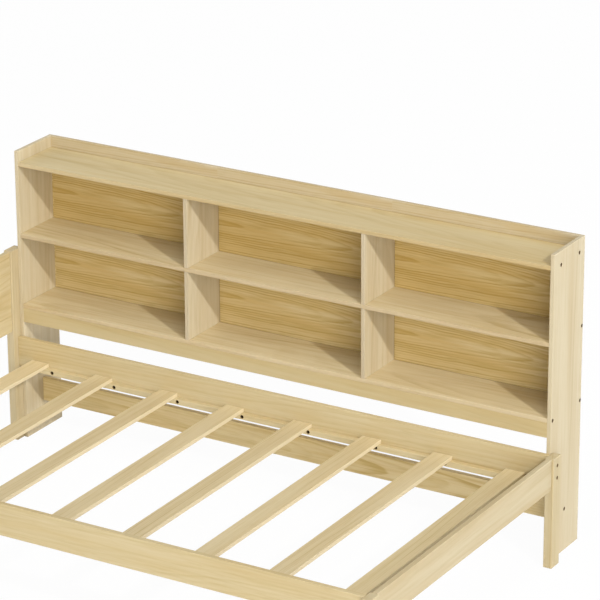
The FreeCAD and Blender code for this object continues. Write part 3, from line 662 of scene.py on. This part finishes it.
side_screws, bolts = {"fixed_by": "bookcase_side_screws"}, {"fixed_by": "bed_bolts"}
boards = {
    "top_shelf": plank("X", 0.24, 0.48, -0.02, 1.04, aside=0.14, edge=0.50, eased=EASED),
    "middle_shelf": plank("X", 0.30, 0.85, 0.07, 0.92, edge=0.78),
    "bottom_shelf": plank("X", 0.26, 0.85, 0.10, 0.92, edge=0.60, eased=EASED),
    "back_panel": plank("X", 0.045, 1.30, 0.19, 1.08, amber=0.55, wave=1.3, staves=STAVES,
                        fixed_by="back_panel_screws"),
    "apron": plank("X", 0.22, 0.35, -0.13, 1.04, aside=0.16, eased=EASED),
    "stretcher": plank("X", 0.06, 1.00, 0.28, 1.05, eased=EASED),
    "bookcase_side_left": plank("Z", 0.24, 0.60, -0.045, 0.80, **side_screws),
    "bookcase_side_right": plank("Z", 0.28, 0.42, -0.10, 0.82, **side_screws),
    "divider_left": plank("Z", 0.30, 0.65, -0.04, 0.78, edge=0.42),
    "divider_right": plank("Z", 0.22, 0.65, -0.05, 0.78, edge=0.42),
    "side_rail_rear": plank("X", 0.16, 0.80, -0.05, 1.0, aside=0.14, eased=EASED),
    "side_rail_front": plank("X", 0.20, 0.70, -0.06, 1.0, aside=0.12, eased=EASED),
    "end_rail_foot": plank("Y", 0.18, 0.52, -0.13, 0.88, aside=0.12, eased=EASED),
    "headboard_panel": plank("Y", 0.14, 0.80, -0.04, 1.0, eased=EASED),
    "headboard_lower_rail": plank("Y", 0.18, 0.80, -0.04, 1.0, eased=EASED),
    "foot_leg_rear": plank("Z", 0.20, 0.60, -0.16, 0.94, aside=0.10, **bolts),
    "foot_leg_front": plank("Z", 0.18, 0.60, -0.16, 0.94, aside=0.10, **bolts),
    "headboard_post_rear": plank("Z", 0.16, 0.70, -0.09, 0.90, aside=0.10, **bolts),
    "headboard_post_front": plank("Z", 0.20, 0.70, -0.09, 0.90, aside=0.10, **bolts),
    "ledger_rear": plank("X", 0.20, 0.70, -0.02, 1.0, aside=0.10, fixed_by="ledger_screws"),
    "ledger_front": plank("X", 0.22, 0.70, -0.02, 1.0, aside=0.10, fixed_by="ledger_screws"),
}
# slats come from thin, fast-grown wood, and no two neighbours are alike
for number in range(1, 9):
    boards[f"slat_{number}"] = plank(
        "Y", 0.05 + 0.012 * (number * 5 % 7), 0.70, 0.010 * (number * 3 % 5 - 2) + 0.07, 0.93,
        ring=0.0055, amber=0.14, aside=0.16, pale=0.7, eased=SLAT_EASED)
# slat 8 lies in the end rail's shadow, so its narrow sides get no painted light
boards["slat_8"].update(depth=0.12, tone=0.03, richness=0.97, pale=0.0)
print(len(boards), "boards,", sum("eased" in board for board in boards.values()), "eased")

# %% [markdown]
# With the table in hand, one loop makes them all. The place of a board in the table is also
# the seed of its wood, so the same board gets the same grain every time.

# %% Make the boards and give each its wood
for seed, (node, board) in enumerate(boards.items()):
    settings = dict(board)
    eased, fixed_by = settings.pop("eased", None), settings.pop("fixed_by", None)
    # the pith lies to the left of one board and to the right of the next
    settings["aside"] = settings.get("aside", 0.0) * (-1 if seed % 2 else 1)
    settings["holes"] = recesses(node, fixed_by) if fixed_by else ()
    low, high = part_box(node)
    wood = pine(f"pine_{node}", low, high, seed, **settings)
    piece = make_board(node, f"wood_{node}", eased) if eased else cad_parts[node]
    piece.data.materials.clear()
    piece.data.materials.append(wood)
    print(node, "with", len(settings["holes"]), "recesses")

# %% [markdown]
# Screws, bolts and dowels are turned parts: a profile spun round an axis. Two things break
# the roundness, the recess in a head and the thread. Both are easy to write down when the
# radius may change with the angle as well as along the axis. The solid model says where each
# one sits, so the fastener is made once and set into every place.

# %% Spin a profile
MM = 0.001
WIDEST_POINTS = 0.98    # points this near to the greatest radius count as the wide end


def turned(along, radius, angles):
    """Points and faces of a closed turned shape, from millimetres.

    point = along * axis + radius * (cosine of the angle, sine of the angle) across it; the
    first and last rows have radius nought and close the two poles
    """
    rows, columns = radius.shape
    grid = np.stack([along, radius * np.cos(angles), radius * np.sin(angles)], -1)
    points = np.concatenate([grid[0, :1], grid[1:-1].reshape(-1, 3), grid[-1, :1]])
    cell = 1 + np.arange((rows - 2) * columns).reshape(rows - 2, columns)
    after = np.roll(cell, -1, axis=1)
    quads = np.stack([cell[:-1], after[:-1], after[1:], cell[1:]], -1).reshape(-1, 4)
    first = np.stack([np.zeros(columns, int), after[0], cell[0]], -1)
    last = np.stack([np.full(columns, len(points) - 1), cell[-1], after[-1]], -1)
    return points * MM, quads, np.concatenate([first, last])


def seat(points):
    """Where a turned solid starts, and three axes: along it and two across it.

    It starts at its wider end, which is a screw's head. A dowel is equally wide at both ends,
    and starts at the lower one.
    """
    low, high = points.min(axis=0), points.max(axis=0)
    along = int(np.argmax(high - low))
    middle = (low + high) / 2
    spread = np.linalg.norm(np.delete(points - middle, along, axis=1), axis=1)
    wide = points[spread > spread.max() * WIDEST_POINTS, along]
    forwards = (wide - low[along]).min() <= (high[along] - wide).min() + MM / 1000
    direction = np.zeros(3)
    direction[along] = 1.0 if forwards else -1.0
    across = np.roll(direction, 1)
    start = middle.copy()
    start[along] = low[along] if forwards else high[along]
    return start, np.array([direction, across, np.cross(direction, across)])


print("the first bed bolt starts at", seat(solids("bed_bolts")[0])[0].round(4))

# %% [markdown]
# A group of screws becomes one object: the shape is made once, and its points are carried to
# every place by that place's three axes.

# %% Set a shape into every place
SHARP = np.radians(38)    # edges sharper than this stay sharp


def fit_turned(node, name, shape, finish):
    """One object with the shape set into the place of every solid of a CAD node."""
    points, quads, triangles = shape
    everywhere, all_faces = [], []
    for count, solid in enumerate(solids(node)):
        start, axes = seat(solid)
        everywhere.append(start + points @ axes)
        offset = count * len(points)
        all_faces += (quads + offset).tolist() + (triangles + offset).tolist()
    mesh = bpy.data.meshes.new(name)
    mesh.from_pydata(np.concatenate(everywhere), [], all_faces)
    mesh.validate()
    mesh.shade_smooth()
    mesh.set_sharp_from_angle(angle=SHARP)
    mesh.materials.append(finish)
    made = bpy.data.objects.new(name, mesh)
    bpy.context.scene.collection.objects.link(made)
    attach(made, "root")
    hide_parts(node)
    print(name, len(everywhere), "pieces,", len(all_faces), "faces")


# %% [markdown]
# Screws and bolts are blackened steel. In their dark recesses only a dull glint shows, so the
# metal is fairly rough, with fine patches where the blacking is thinner.

# %% Steel
PATCHES, PATCH_SHADE, PATCH_ROUGHNESS = 900.0, 0.75, 0.2    # the first is cells to the metre


def steel(name, colour, roughness):
    """Blackened steel: colour and roughness vary a little over fine patches."""
    shader = Shader(name)
    place = shader.node("ShaderNodeTexCoord", output="Object")
    patch = shader.noise(place, PATCHES, 2.0)
    darker = [PATCH_SHADE * part for part in colour]
    shader.fill({"Metallic": 1.0, "Roughness": patch * PATCH_ROUGHNESS + roughness,
                 "Base Color": shader.blend(patch, linear(*colour), linear(*darker))})
    return shader.material


screw_steel = steel("screw_steel", (44, 34, 22), 0.52)
bolt_steel = steel("bolt_steel", (46, 37, 26), 0.50)
print(screw_steel.name, "and", bolt_steel.name)

# %% [markdown]
# A screw's recess is a cross. Seen from the axis, its outline is the arm's reach in four
# directions and the arm's straight sides between them, so one radius for every angle holds it.
# A thread is a helix: along any line down the shank, the radius rises and falls once a turn.

# %% Recess and thread
ARM_ANGLES = np.radians([-45, -28, -14, -7, 0, 7, 14, 28])    # closer together on an arm
CROSS_REACH, CROSS_WIDTH, CROSS_CORE = 2.4, 1.1, 0.72         # the core in parts of the width
ROWS_A_TURN = 4


def cross_outline(angles):
    """Radius of a cross: the lesser of the arm's reach and the way to its straight side."""
    off_arm = (angles + np.pi / 4) % (np.pi / 2) - np.pi / 4
    side = CROSS_WIDTH / 2 / np.maximum(abs(np.sin(off_arm)), 1e-6)
    return np.minimum(CROSS_REACH, np.maximum(side, CROSS_WIDTH * CROSS_CORE))


def thread(start, end, pitch, core, outer, angles):
    """Rows of a screw thread: radius = core, rising to the outer radius along a helix."""
    along = np.linspace(start, end, int((end - start) / pitch * ROWS_A_TURN) + 1)
    phase = (along[:, None] / pitch - angles[None, :] / (2 * np.pi)) % 1.0
    ridge = 1.0 - abs(2.0 * phase - 1.0)
    fade = np.clip((end - along) / (2 * pitch), 0, 1)[:, None]
    return along[:, None] + 0 * phase, core + (outer - core) * ridge * fade


cross_angles = np.concatenate([ARM_ANGLES + quarter * np.pi / 2 for quarter in range(4)])
cross = cross_outline(cross_angles)
print("the cross is", round(2 * float(cross.max()), 1), "mm wide")


# %% [markdown]
# A screw is now a list of rows from the recess to the tip, each with a place along the axis
# and a radius for every angle. The mouth of the recess and the rim of the head each have a
# small bevel, because a sharp edge would catch no light.

# %% Head, shank and thread
DOME_CURVE = 2.2
RECESS_FLOOR, RECESS_LIP, RECESS_MOUTH = 0.55, 0.97, 1.03    # parts of the recess's outline
DOME_ROWS = (0.4, 0.75, 0.94)                                # on the way from recess to rim
LIP, RIM, RIM_BEVEL, RUN_IN, THREAD_CORE = 0.25, 0.12, 0.15, 0.3, 0.72


def headed(length, head, head_height, shank, pitch, plain, angles, recess, depth, dome, point):
    """A screw or bolt, head first, in millimetres: recess, dome, underside, shank, thread.

    height of the dome's surface = dome * (radius / head radius) ** curve
    """
    head_radius, shank_radius, tip = head / 2, shank / 2, head_height + length
    flat = np.ones(len(angles))

    def surface(radius):
        return dome * (radius / head_radius) ** DOME_CURVE

    rows = [(depth * flat, 0 * flat), (depth * flat, RECESS_FLOOR * recess),
            (surface(recess) + LIP, RECESS_LIP * recess),
            (surface(recess), RECESS_MOUTH * recess)]
    for share in DOME_ROWS:
        radius = recess + (head_radius - recess) * share
        rows.append((surface(radius), radius))
    rows += [((dome + RIM) * flat, head_radius * flat),
             ((head_height - RIM_BEVEL) * flat, head_radius * flat),
             (head_height * flat, (head_radius - RIM_BEVEL) * flat),
             (head_height * flat, shank_radius * flat),
             ((head_height + plain) * flat, shank_radius * flat)]
    along, radius = (np.array(part) for part in zip(*rows))
    thread_along, thread_radius = thread(head_height + plain + RUN_IN, tip - point, pitch,
                                         shank_radius * THREAD_CORE, shank_radius, angles)
    return turned(np.concatenate([along, thread_along, [tip * flat]]),
                  np.concatenate([radius, thread_radius, [0 * flat]]), angles)


print("a head takes", len(DOME_ROWS) + 9, "rows")

# %% [markdown]
# Screws. The wide-headed ones sit in the side panels and ledgers, where the photograph shows
# them, and fill their recesses. Every group's screws are as long as its solids say.

# %% Screws
HEAD_HEIGHT, WIDE_HEAD, HEAD = 3.0, 11.0, 9.0
for node, name, head in (("bookcase_side_screws", "side_panel_screws", WIDE_HEAD),
                         ("back_panel_screws", "rear_panel_screws", HEAD),
                         ("bookcase_to_leg_screws", "leg_screws", HEAD),
                         ("ledger_screws", "slat_ledger_screws", WIDE_HEAD)):
    reach = float(np.ptp(solids(node)[0], axis=0).max()) / MM - HEAD_HEIGHT
    screw = headed(reach, head, HEAD_HEIGHT, shank=4.0, pitch=2.2, plain=3.0,
                   angles=cross_angles, recess=cross, depth=2.1, dome=1.3, point=3.0)
    fit_turned(node, name, screw, screw_steel)

# %% [markdown]
# Bed bolts pass through the legs into barrel nuts in the rails. They have a hexagon socket,
# whose outline is again one radius for every angle, and a fine thread near the end only. The
# nuts are cross-drilled cylinders deep in the rails, and stay as the solid model made them.

# %% Bed bolts and barrel nuts
bolt_angles = np.radians(np.arange(0, 360, 10))
SOCKET = 5.0    # millimetres across its flats
hexagon = SOCKET / 2 / np.cos((bolt_angles + np.pi / 6) % (np.pi / 3) - np.pi / 6)
bolt = headed(70.0, 12.0, 4.0, shank=6.0, pitch=1.5, plain=42.0, angles=bolt_angles,
              recess=hexagon, depth=2.6, dome=0.5, point=1.0)
fit_turned("bed_bolts", "hexagon_socket_bolts", bolt, bolt_steel)
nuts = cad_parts["barrel_nuts"].data.materials
nuts.clear()
nuts.append(bolt_steel)

# %% [markdown]
# Dowels are beech, harder and plainer than pine, with twelve shallow flutes that let the glue
# out and cut corners that find the hole.

# %% Dowels
beech = pine("beech", (-1, -1, 0), (1, 1, 1), 99, grain="X", depth=0.10, contrast=0.5,
             tone=-0.1, richness=1.0, ring=0.004, amber=0.35, wave=1.0)
FLUTES, FLUTE_DEPTH, DEGREES = 12, 0.035, 7.5    # a point every 7.5 degrees
# places along a dowel, and its radius there, as shares of its length and full radius
DOWEL_PROFILE = ((0, 0), (0, 0.72), (0.04, 0.95), (0.07, 1), (0.93, 1), (0.96, 0.95),
                 (1, 0.72), (1, 0))


def dowel(length, width):
    """A fluted dowel: radius = full radius less a shallow wave round it, with cut corners."""
    angles = np.radians(np.arange(0, 360, DEGREES))
    radius = width / 2 * (1 - FLUTE_DEPTH * (1 - np.cos(FLUTES * angles)))
    along = np.array([share * length * np.ones(len(angles)) for share, _ in DOWEL_PROFILE])
    return turned(along, np.array([share * radius for _, share in DOWEL_PROFILE]), angles)


for node in ("shelf_dowels", "divider_dowels", "apron_dowels", "slat_dowels",
             "end_rail_dowels", "headboard_dowels"):
    width, _, length = np.sort(np.ptp(solids(node)[0], axis=0)) / MM
    fit_turned(node, f"fluted_{node}", dowel(length, width), beech)

# %% [markdown]
# The picture is taken from the front right, well above the bed and from far away, so the long
# edges hardly converge. Its frame is square.

# %% Camera
AZIMUTH, PITCH, ROLL = np.radians((30.931, 20.964, -0.3197))
CAMERA_PLACE = (5.25397, -8.11356, 4.55183)
FOCUS = 3369.7 / 600.0    # focal length over the width of the frame
SENSOR = 36.0             # millimetres
right = np.array([np.cos(AZIMUTH), np.sin(AZIMUTH), 0.0])
forward = np.array([-np.sin(AZIMUTH) * np.cos(PITCH), np.cos(AZIMUTH) * np.cos(PITCH),
                    -np.sin(PITCH)])
up = np.cross(right, forward)
right, up = (right * np.cos(ROLL) + up * np.sin(ROLL), up * np.cos(ROLL) - right * np.sin(ROLL))
lens = bpy.data.cameras.new("camera")
lens.sensor_width = SENSOR
lens.lens = SENSOR * FOCUS
lens.clip_end = 100.0
camera = bpy.data.objects.new("camera", lens)
camera.matrix_world = Matrix.Translation(CAMERA_PLACE) @ Matrix(
    np.column_stack([right, up, -forward]).tolist()).to_4x4()
bpy.context.scene.collection.objects.link(camera)
bpy.context.scene.camera = camera
print("lens", round(lens.lens, 1), "mm")

# %% [markdown]
# The light comes from the upper right, in front of the bed. A small key lamp draws the sharp
# triangles of shade in the compartments, and wide soft boxes fill them. Two more lamps light
# the rear and the left, which other views show. Seen from behind, the low box would glare
# white on the top shelf, so it is left out of reflections.

# %% Lamps
LAMP_TARGET = Vector((0.0, 0.2, 0.5))
LAMPS = {    # direction towards the lamp, distance, size, power in watts
    "key": ((1.65, -1.0, 1.30), 24.0, 0.9, 3350.0),
    "high_soft_box": ((0.85, -1.0, 1.0), 24.0, 13.0, 640.0),
    "low_soft_box": ((0.9, -1.0, 0.25), 24.0, 12.0, 3350.0),
    "top_soft_box": ((0.1, -0.3, 1.0), 20.0, 14.0, 1400.0),
    "side_soft_box": ((1.0, -0.12, 0.15), 24.0, 10.0, 120.0),
    "rear_fill": ((0.3, 1.0, 0.15), 24.0, 10.0, 2900.0),
    "left_fill": ((-1.0, -0.25, 0.3), 24.0, 12.0, 1900.0),
}
for name, (towards_lamp, distance, size, power) in LAMPS.items():
    data = bpy.data.lights.new(name, "AREA")
    data.energy, data.size = power, size
    lamp = bpy.data.objects.new(name, data)
    direction = Vector(towards_lamp).normalized()
    lamp.matrix_world = Matrix.Translation(LAMP_TARGET + direction * distance) @ (
        direction.to_track_quat("Z", "Y").to_matrix().to_4x4())
    lamp.visible_glossy = name != "low_soft_box"
    bpy.context.scene.collection.objects.link(lamp)
print(len(LAMPS), "lamps")

# %% [markdown]
# The sky is dim where it lights the bed, and pure white where the camera sees it, straight or
# in a reflection. The floor does the same by a glow, and keeps a little of its own surface, so
# that it still takes the bed's shadow.

# %% Sky and floor
WHITE, FLOOR_GREY = (1.0, 1.0, 1.0, 1.0), (0.8, 0.8, 0.8, 1.0)
SKY_LIGHT, FLOOR_GLOW, FLOOR_REACH = 0.18, 0.96, 30


def seen(network):
    """1 where a ray comes from the camera, straight or off a gloss, and 0 where it lights."""
    straight = network.node("ShaderNodeLightPath", output="Is Camera Ray")
    return straight.maths("MAXIMUM", straight.beside("Is Glossy Ray"))


world = bpy.data.worlds.new("studio")
world.use_nodes = True
bpy.context.scene.world = world
bpy.context.scene.view_settings.view_transform = "Standard"
sky = Network(world.node_tree)
light = sky.tree.nodes["Background"]
sky.feed(light.inputs["Color"], WHITE)
sky.feed(light.inputs["Strength"], SKY_LIGHT)
backdrop = sky.node("ShaderNodeBackground", inputs={"Color": WHITE, "Strength": 1.0})
sky.feed(sky.tree.nodes["World Output"].inputs["Surface"], sky.node(
    "ShaderNodeMixShader", inputs={0: seen(sky), 1: Value(sky, light.outputs[0]), 2: backdrop}))

paint = Shader("floor_white")
paint.fill({"Base Color": FLOOR_GREY, "Roughness": 0.9})
glow = paint.node("ShaderNodeEmission", inputs={"Color": WHITE, "Strength": 1.0})
paint.feed(paint.tree.nodes["Material Output"].inputs["Surface"], paint.node(
    "ShaderNodeMixShader", inputs={0: seen(paint) * FLOOR_GLOW,
                                   1: Value(paint, paint.surface.outputs[0]), 2: glow}))
mesh = bpy.data.meshes.new("floor")
mesh.from_pydata([(x * FLOOR_REACH, y * FLOOR_REACH, 0)
                  for x, y in ((-1, -1), (1, -1), (1, 1), (-1, 1))], [], [(0, 1, 2, 3)])
mesh.materials.append(paint.material)
floor = bpy.data.objects.new("floor", mesh)
bpy.context.scene.collection.objects.link(floor)
floor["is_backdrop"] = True
print("floor", 2 * FLOOR_REACH, "m wide")

# %% [markdown]
# Last, the box of the dressed model is written down, in metres.

# %% Finish
low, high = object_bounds()
print("dressed model, in metres:", [round(h - l, 4) for l, h in zip(low, high)])
